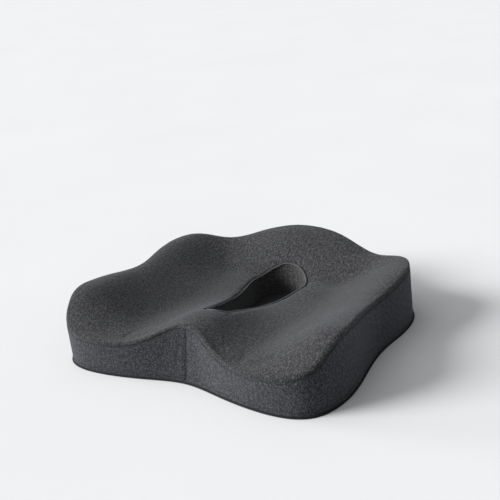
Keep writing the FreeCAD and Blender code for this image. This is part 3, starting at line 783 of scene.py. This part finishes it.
def make_back_bands():
    """The two halves of the back band, with the slot for the zip between them."""
    ends = [0, 0.5, 1, 1.4, 1.8, 2.1, 2.4, 2.7, 3.1, 3.6, 4.2]
    between = list(np.arange(5, BACK_COLUMNS - 4))
    steps = ends + between + [BACK_COLUMNS - end for end in ends[::-1]]
    close = np.array([0, 0.8, 2.0, 4.0, 7.0]) * MM
    for part in ("upper", "lower"):
        columns = []
        for step in steps:
            half = slot_half(BAND_ANGLE * (1 - 2 * step / BACK_COLUMNS))

            def heights(low, high, half=half):
                if part == "upper":
                    start = ZIP_Z + half
                    middle = np.linspace(start + 7 * MM, high - 7 * MM, 9)[1:-1]
                    return np.concatenate([start + close, middle, high - close[::-1]])
                end = ZIP_Z - half
                middle = np.linspace(low + 5 * MM, end - 7 * MM, 4)[1:-1]
                return np.concatenate([low + close[:4], middle, end - close[::-1]])

            columns.append(wall_column(RIGHT_SEAM + step, heights))
        grid = np.array(columns).transpose(1, 0, 2)
        band = panel(f"back_{part}", grid, "knit_side", [f"back_band_{part}"], closed=False)


def make_hole_floor():
    """The cloth that closes the relief hole's lining at the bottom."""
    crown = 0.8 * MM
    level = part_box("relief_hole_floor")[1].z - 0.25 * MM
    edge = HOLE - plan_normals(HOLE) * 0.2 * MM
    part = np.linspace(0, 1, 15)[:, None]
    rows = []
    for k in range(1, COLUMNS // 2, 2):
        line = edge[-k] * (1 - part) + edge[k] * part
        rows.append(np.hstack([line, level + 4 * crown * part * (1 - part)]))
    grid = np.array(rows)
    obj = sheet("hole_floor", grid, "hole_floor", plan_uv(grid))
    ready(thick_sheet(obj), ["relief_hole_floor"])


def tube(name, path, radius, sides, slot, nodes):
    """Closed cord along a path in plan."""
    normal = plan_normals(path[:, :2])
    turns = np.linspace(0, 2 * math.pi, sides, endpoint=False)
    rows = []
    for turn in turns:
        out = normal * (radius * math.cos(turn))
        rows.append(path + np.column_stack([out, np.full(len(path), radius * math.sin(turn))]))
    grid = np.array(rows)
    obj = new_object(name, grid.reshape(-1, 3), grid_faces(sides, len(path), True, True), MAT[slot])
    around = np.arange(sides) * 2 * math.pi * radius / sides
    run = np.arange(len(path)) * np.linalg.norm(path[1] - path[0])
    add_uv(obj, np.stack(np.meshgrid(run, around), axis=2).reshape(-1, 2))
    obj.modifiers.new("smooth", "SUBSURF").levels = 1
    return ready(apply_modifiers(obj), nodes)


def make_piping():
    foot = wall_at(BASE_Z)[:, :2]
    path = np.column_stack([foot + NORMALS * 0.9 * MM, np.full(COLUMNS, 1.62 * MM)])
    tube("base_cord", path, 1.6 * MM, 10, "piping", ["base_piping"])


# ---------------------------------------------------------------- stitches and dots


def ring_walls(first, rings, sides):
    """Faces between rings of points, each ring one after the other in the list of points."""
    faces = []
    for r in range(rings - 1):
        for side in range(sides):
            a, b = first + r * sides + side, first + r * sides + (side + 1) % sides
            faces.append((a, b, b + sides, a + sides))
    return faces


STITCH_PROFILE = (  # place along the stitch, its lift in radii, its thickness in radii
    (0.0, -0.6, 0.5),
    (0.12, 0.0, 0.9),
    (0.35, 0.3, 1.0),
    (0.65, 0.3, 1.0),
    (0.88, 0.0, 0.9),
    (1.0, -0.6, 0.5),
)
STITCH_SIDES = 6


def stitches(name, line, closed, nodes):
    """A row of short stitches along a line just outside the cloth; their ends dive into it."""
    line = np.vstack([line, line[:1]]) if closed else np.array(line)
    run = np.concatenate([[0], np.cumsum(np.linalg.norm(np.diff(line, axis=0), axis=1))])
    count = int(run[-1] / STITCH_PITCH)
    points, faces = [], []
    for number in range(count):
        start = (number + 0.15) * run[-1] / count
        middle = []
        for part, lift, wide in STITCH_PROFILE:
            at = [float(np.interp(start + part * STITCH_LONG, run, line[:, i])) for i in range(3)]
            place, normal = CLOTH_TREE.find_nearest(Vector(at))[:2]
            middle.append((place + normal * lift * STITCH_RADIUS, normal, wide))
        along = (middle[-1][0] - middle[0][0]).normalized()
        first = len(points)
        for place, normal, wide in middle:
            aside = along.cross(normal).normalized()
            for side in range(STITCH_SIDES):
                turn = 2 * math.pi * side / STITCH_SIDES
                ring = normal * math.sin(turn) + aside * math.cos(turn)
                points.append(place + ring * STITCH_RADIUS * wide)
        last = len(points) - STITCH_SIDES
        faces += ring_walls(first, len(STITCH_PROFILE), STITCH_SIDES)
        faces.append(tuple(range(first, first + STITCH_SIDES)))
        faces.append(tuple(range(last, last + STITCH_SIDES))[::-1])
    obj = new_object(name, points, faces, MAT["thread"])
    return ready(obj, nodes)


def beside(row, toward, distance):
    """Line on the finished cover at a distance from one of its rows, towards another row."""
    step = COVER[toward] - COVER[row]
    step /= np.linalg.norm(step, axis=1)[:, None]
    return COVER[row] + step * distance


def make_threads():
    seam = MARKS["rim_seam"]
    stitches("rim_stitches", beside(seam, seam - 3, RIM_STITCH_DROP), True, ["top_seam_thread"])
    stitches("base_stitches", wall_points(BASE_STITCH_Z), True, ["base_seam_thread"])
    hole = MARKS["hole_seam"]
    stitches("hole_stitches", beside(hole, hole - 7, HOLE_STITCH_OUT), True, ["hole_rim_thread"])
    under = np.column_stack([HOLE + plan_normals(HOLE) * FOOT_STITCH_OUT, np.full(COLUMNS, BASE_Z)])
    stitches("hole_base_stitches", under, True, ["hole_base_thread"])
    front = COVER[3:seam - 2, 1] * 0.6 + COVER[3:seam - 2, 0] * 0.4
    stitches("front_stitches", front, False, ["front_seam_thread"])


def wall_points(z):
    """Line round the finished wall at height z."""
    rows = MARKS["rim_seam"] + 1
    line = np.empty((COLUMNS, 3))
    for c in range(COLUMNS):
        line[c] = [np.interp(z, GRID[:rows, c, 2], COVER[:rows, c, i]) for i in range(3)]
    return line


def loose_parts(node):
    """Corner points of each separate solid in a CAD node."""
    mesh = bmesh.new()
    mesh.from_mesh(NODES[node].data)
    bmesh.ops.remove_doubles(mesh, verts=mesh.verts, dist=1e-6)
    seen, parts = set(), []
    for vert in mesh.verts:
        if vert in seen:
            continue
        seen.add(vert)
        group, queue = [], [vert]
        while queue:
            point = queue.pop()
            group.append(tuple(point.co))
            for edge in point.link_edges:
                other = edge.other_vert(point)
                if other not in seen:
                    seen.add(other)
                    queue.append(other)
        parts.append(np.array(group))
    mesh.free()
    return parts


def make_dots():
    """Grip dots as low domes on the bottom panel."""
    sides = 12
    rings = ((1.0, 0.0), (0.96, 0.45), (0.8, 0.8), (0.45, 0.97))
    points, faces = [], []
    for part in loose_parts("grip_dots"):
        low, high = part.min(axis=0), part.max(axis=0)
        centre = (low + high) / 2
        radius, thick = (high[0] - low[0]) / 2, high[2] - low[2] + 0.3 * MM
        first = len(points)
        for wide, deep in rings:
            for side in range(sides):
                turn = 2 * math.pi * side / sides
                across = radius * wide
                place = (centre[0] + across * math.cos(turn), centre[1] + across * math.sin(turn))
                points.append((*place, high[2] + 0.3 * MM - thick * deep))
        last = len(points) - sides
        faces += [face[::-1] for face in ring_walls(first, len(rings), sides)]
        faces.append(tuple(range(last, last + sides))[::-1])
        faces.append(tuple(range(first, first + sides)))
    obj = new_object("dots", points, faces, MAT["grip_rubber"])
    return ready(obj, ["grip_dots"])


# ---------------------------------------------------------------- zip and label


def arc_point(angle, reach, z):
    return (*on_arc(angle, reach), z)


TAPE_PROFILE = (  # distance from the middle of the zip and bulge of the corded edge, in millimetres
    (1.8, 0.0), (1.9, 0.45), (2.3, 0.7), (2.9, 0.5), (3.3, 0.05), (5, 0), (7, 0), (10, 0), (15, 0),
)


def make_tapes():
    """Woven tapes, each with a corded edge beside the teeth."""
    reach = ARC_RADIUS - 2.6 * MM
    end = BAND_ANGLE - math.radians(1.2)
    angles = np.linspace(end, -end, 160)
    for part, side in (("upper", 1), ("lower", -1)):
        rows = []
        for away, bulge in TAPE_PROFILE:
            z = ZIP_Z + side * away * MM
            rows.append([arc_point(angle, reach + bulge * MM, z) for angle in angles])
        grid = np.array(rows[::side])
        obj = sheet(f"tape_{part}", grid, "zip_tape", run_uv(grid))
        thick = obj.modifiers.new("thick", "SOLIDIFY")
        thick.thickness = 0.9 * MM
        thick.offset = -1
        ready(apply_modifiers(obj), [f"zip_tape_{part}"])


def rounded_box(mesh, size, centre, turn, bevel):
    """Adds a box with rounded edges, turned about Z and placed at centre."""
    place = Matrix.Translation(centre) @ Matrix.Rotation(turn, 4, "Z") @ Matrix.Diagonal((*size, 1))
    corners = bmesh.ops.create_cube(mesh, size=1, matrix=place)["verts"]
    edges = list({edge for vert in corners for edge in vert.link_edges})
    bmesh.ops.bevel(mesh, geom=edges, offset=bevel, segments=2, profile=0.5, affect="EDGES")


def from_bmesh(name, mesh, slot, nodes, body="cushion"):
    data = bpy.data.meshes.new(name)
    mesh.to_mesh(data)
    mesh.free()
    data.polygons.foreach_set("use_smooth", [True] * len(data.polygons))
    data.materials.append(MAT[slot])
    obj = bpy.data.objects.new(name, data)
    bpy.context.scene.collection.objects.link(obj)
    return ready(obj, nodes, body)


TOOTH = (  # size in millimetres and distance from the middle of the zip, of foot, neck and head
    ((1.7, 2.5, 1.5), 2.0),
    ((0.85, 1.9, 1.5), 0.9),
    ((1.35, 2.3, 1.0), 0.05),
)


def make_teeth():
    """Moulded teeth: a foot clamped on the tape's cord, a neck, and a head that meshes."""
    for part, side in (("upper", 1), ("lower", -1)):
        mesh = bmesh.new()
        for tooth in loose_parts(f"zip_teeth_{part}"):
            centre = (tooth.min(axis=0) + tooth.max(axis=0)) / 2
            angle = math.atan2(centre[0], centre[1] - ARC_CENTRE.y)
            reach = math.hypot(centre[0], centre[1] - ARC_CENTRE.y)
            for size, away in TOOTH:
                place = arc_point(angle, reach, ZIP_Z + side * away * MM)
                rounded_box(mesh, [value * MM for value in size], place, -angle, 0.22 * MM)
        from_bmesh(f"teeth_{part}", mesh, "zip_teeth", [f"zip_teeth_{part}"])


def make_stops():
    for label in ("top", "bottom"):
        node = f"zip_{label}_stop"
        low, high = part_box(node)
        centre = (low + high) / 2
        angle = math.atan2(centre.x, centre.y - ARC_CENTRE.y)
        mesh = bmesh.new()
        rounded_box(mesh, (2.4 * MM, 2.4 * MM, 3.2 * MM), centre, -angle, 0.4 * MM)
        rounded_box(mesh, (1.0 * MM, 2.8 * MM, 2.6 * MM), centre, -angle, 0.3 * MM)
        rounded_box(mesh, (1.5 * MM, 2.0 * MM, 5.4 * MM), centre, -angle, 0.4 * MM)
        from_bmesh(f"stop_{label}", mesh, "zip_teeth", [node])


def softened(name, node, width, slot, body):
    """A CAD part with its edges rounded over."""
    mesh = bmesh.new()
    mesh.from_mesh(NODES[node].data)
    bmesh.ops.remove_doubles(mesh, verts=mesh.verts, dist=1e-6)
    bmesh.ops.dissolve_limit(mesh, angle_limit=math.radians(1), verts=mesh.verts, edges=mesh.edges)
    obj = from_bmesh(name, mesh, slot, [node], body)
    bevel = obj.modifiers.new("edges", "BEVEL")
    bevel.width = width
    bevel.segments = 3
    bevel.limit_method = "ANGLE"
    bevel.angle_limit = math.radians(40)
    bevel.harden_normals = True
    return apply_modifiers(obj)


def make_slider():
    softened("slider", "zip_slider", 0.35 * MM, "zip_metal", "slider")
    softened("pull_tab", "zip_pull_tab", 0.3 * MM, "zip_metal", "pull_tab")


def make_label():
    """Blank ribbon label, sewn in at its lower edge and standing a little off the band."""
    low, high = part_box("care_label")
    middle = (low + high) / 2
    angle = math.atan2(middle.x, middle.y - ARC_CENTRE.y)
    wide, tall = 24 * MM, high.z - low.z
    rows = []
    for up in np.linspace(0, 1, 13):
        row = []
        for across in np.linspace(-0.5, 0.5, 21):
            stand = 1.5 * MM + 0.9 * MM * math.sin(up * 2.6) + 0.35 * MM * math.sin(across * 9 + up * 3) * up
            row.append(arc_point(angle - across * wide / ARC_RADIUS, ARC_RADIUS + stand, low.z + up * tall))
        rows.append(row)
    grid = np.array(rows)
    obj = sheet("label", grid, "label", run_uv(grid))
    thick = obj.modifiers.new("thick", "SOLIDIFY")
    thick.thickness = 0.45 * MM
    thick.offset = 0
    ready(apply_modifiers(obj), ["care_label"])


make_cover()
make_back_bands()
make_hole_floor()
make_piping()
make_threads()
make_dots()
make_tapes()
make_teeth()
make_stops()
make_slider()
make_label()

# ---------------------------------------------------------------- stage, light, camera


def look():
    """The viewing angle: turned to the right of the front and looking down."""
    turn, height, roll = math.radians(35.4), math.radians(21.0), math.radians(-7.3)
    distance, aside, lift = 1.3, -0.00975, 0.11757
    sensor_width, focal_ratio = 36, 1.679
    back = Vector((math.sin(turn) * math.cos(height), -math.cos(turn) * math.cos(height), math.sin(height)))
    side = (-back).cross(Vector((0, 0, 1))).normalized()
    up = side.cross(-back)
    right = side * math.cos(roll) + up * math.sin(roll)
    above = up * math.cos(roll) - side * math.sin(roll)
    camera = bpy.data.objects.new("camera", bpy.data.cameras.new("camera"))
    bpy.context.scene.collection.objects.link(camera)
    place = back * distance + right * aside + above * lift + Vector((0, 0.0085, 0))
    turned = Matrix((right, above, back)).transposed().to_4x4()
    camera.matrix_world = Matrix.Translation(place) @ turned
    camera.data.sensor_width = sensor_width
    camera.data.lens = sensor_width * focal_ratio
    camera.data.clip_start = 0.01
    camera.data.clip_end = 50
    bpy.context.scene.camera = camera


def floor():
    n = Nodes("floor")
    shades = [(0.3, (0.545, 0.55, 0.555)), (0.7, (0.555, 0.56, 0.565))]
    n.link(n.ramp(n.noise(n.place(), 3), shades), n.bsdf.inputs["Base Color"])
    n.set(Roughness=0.95, Specular_IOR_Level=0.1)
    half = 30.0
    corners = [(-half, -half, 0), (half, -half, 0), (half, half, 0), (-half, half, 0)]
    new_object("floor", corners, [(0, 1, 2, 3)], n.material, False)


def sun(name, toward, strength, spread):
    """Light from far away; toward points from the cushion to the light."""
    light = bpy.data.lights.new(name, "SUN")
    light.energy = strength
    light.angle = math.radians(spread)
    obj = bpy.data.objects.new(name, light)
    bpy.context.scene.collection.objects.link(obj)
    obj.rotation_euler = Vector(toward).to_track_quat("Z", "Y").to_euler()


def lights():
    world = bpy.data.worlds.new("studio")
    world.use_nodes = True
    world.node_tree.nodes["Background"].inputs[0].default_value = (0.95, 0.97, 1.0, 1)
    world.node_tree.nodes["Background"].inputs[1].default_value = 0.42
    bpy.context.scene.world = world
    sun("key", (-0.70, -0.53, 0.46), 5.7, 28)
    sun("side", (-0.97, -0.10, 0.20), 1.8, 20)
    sun("top", (-0.40, -0.15, 0.90), 0.8, 60)
    bpy.context.scene.view_settings.view_transform = "Standard"


look()
floor()
lights()
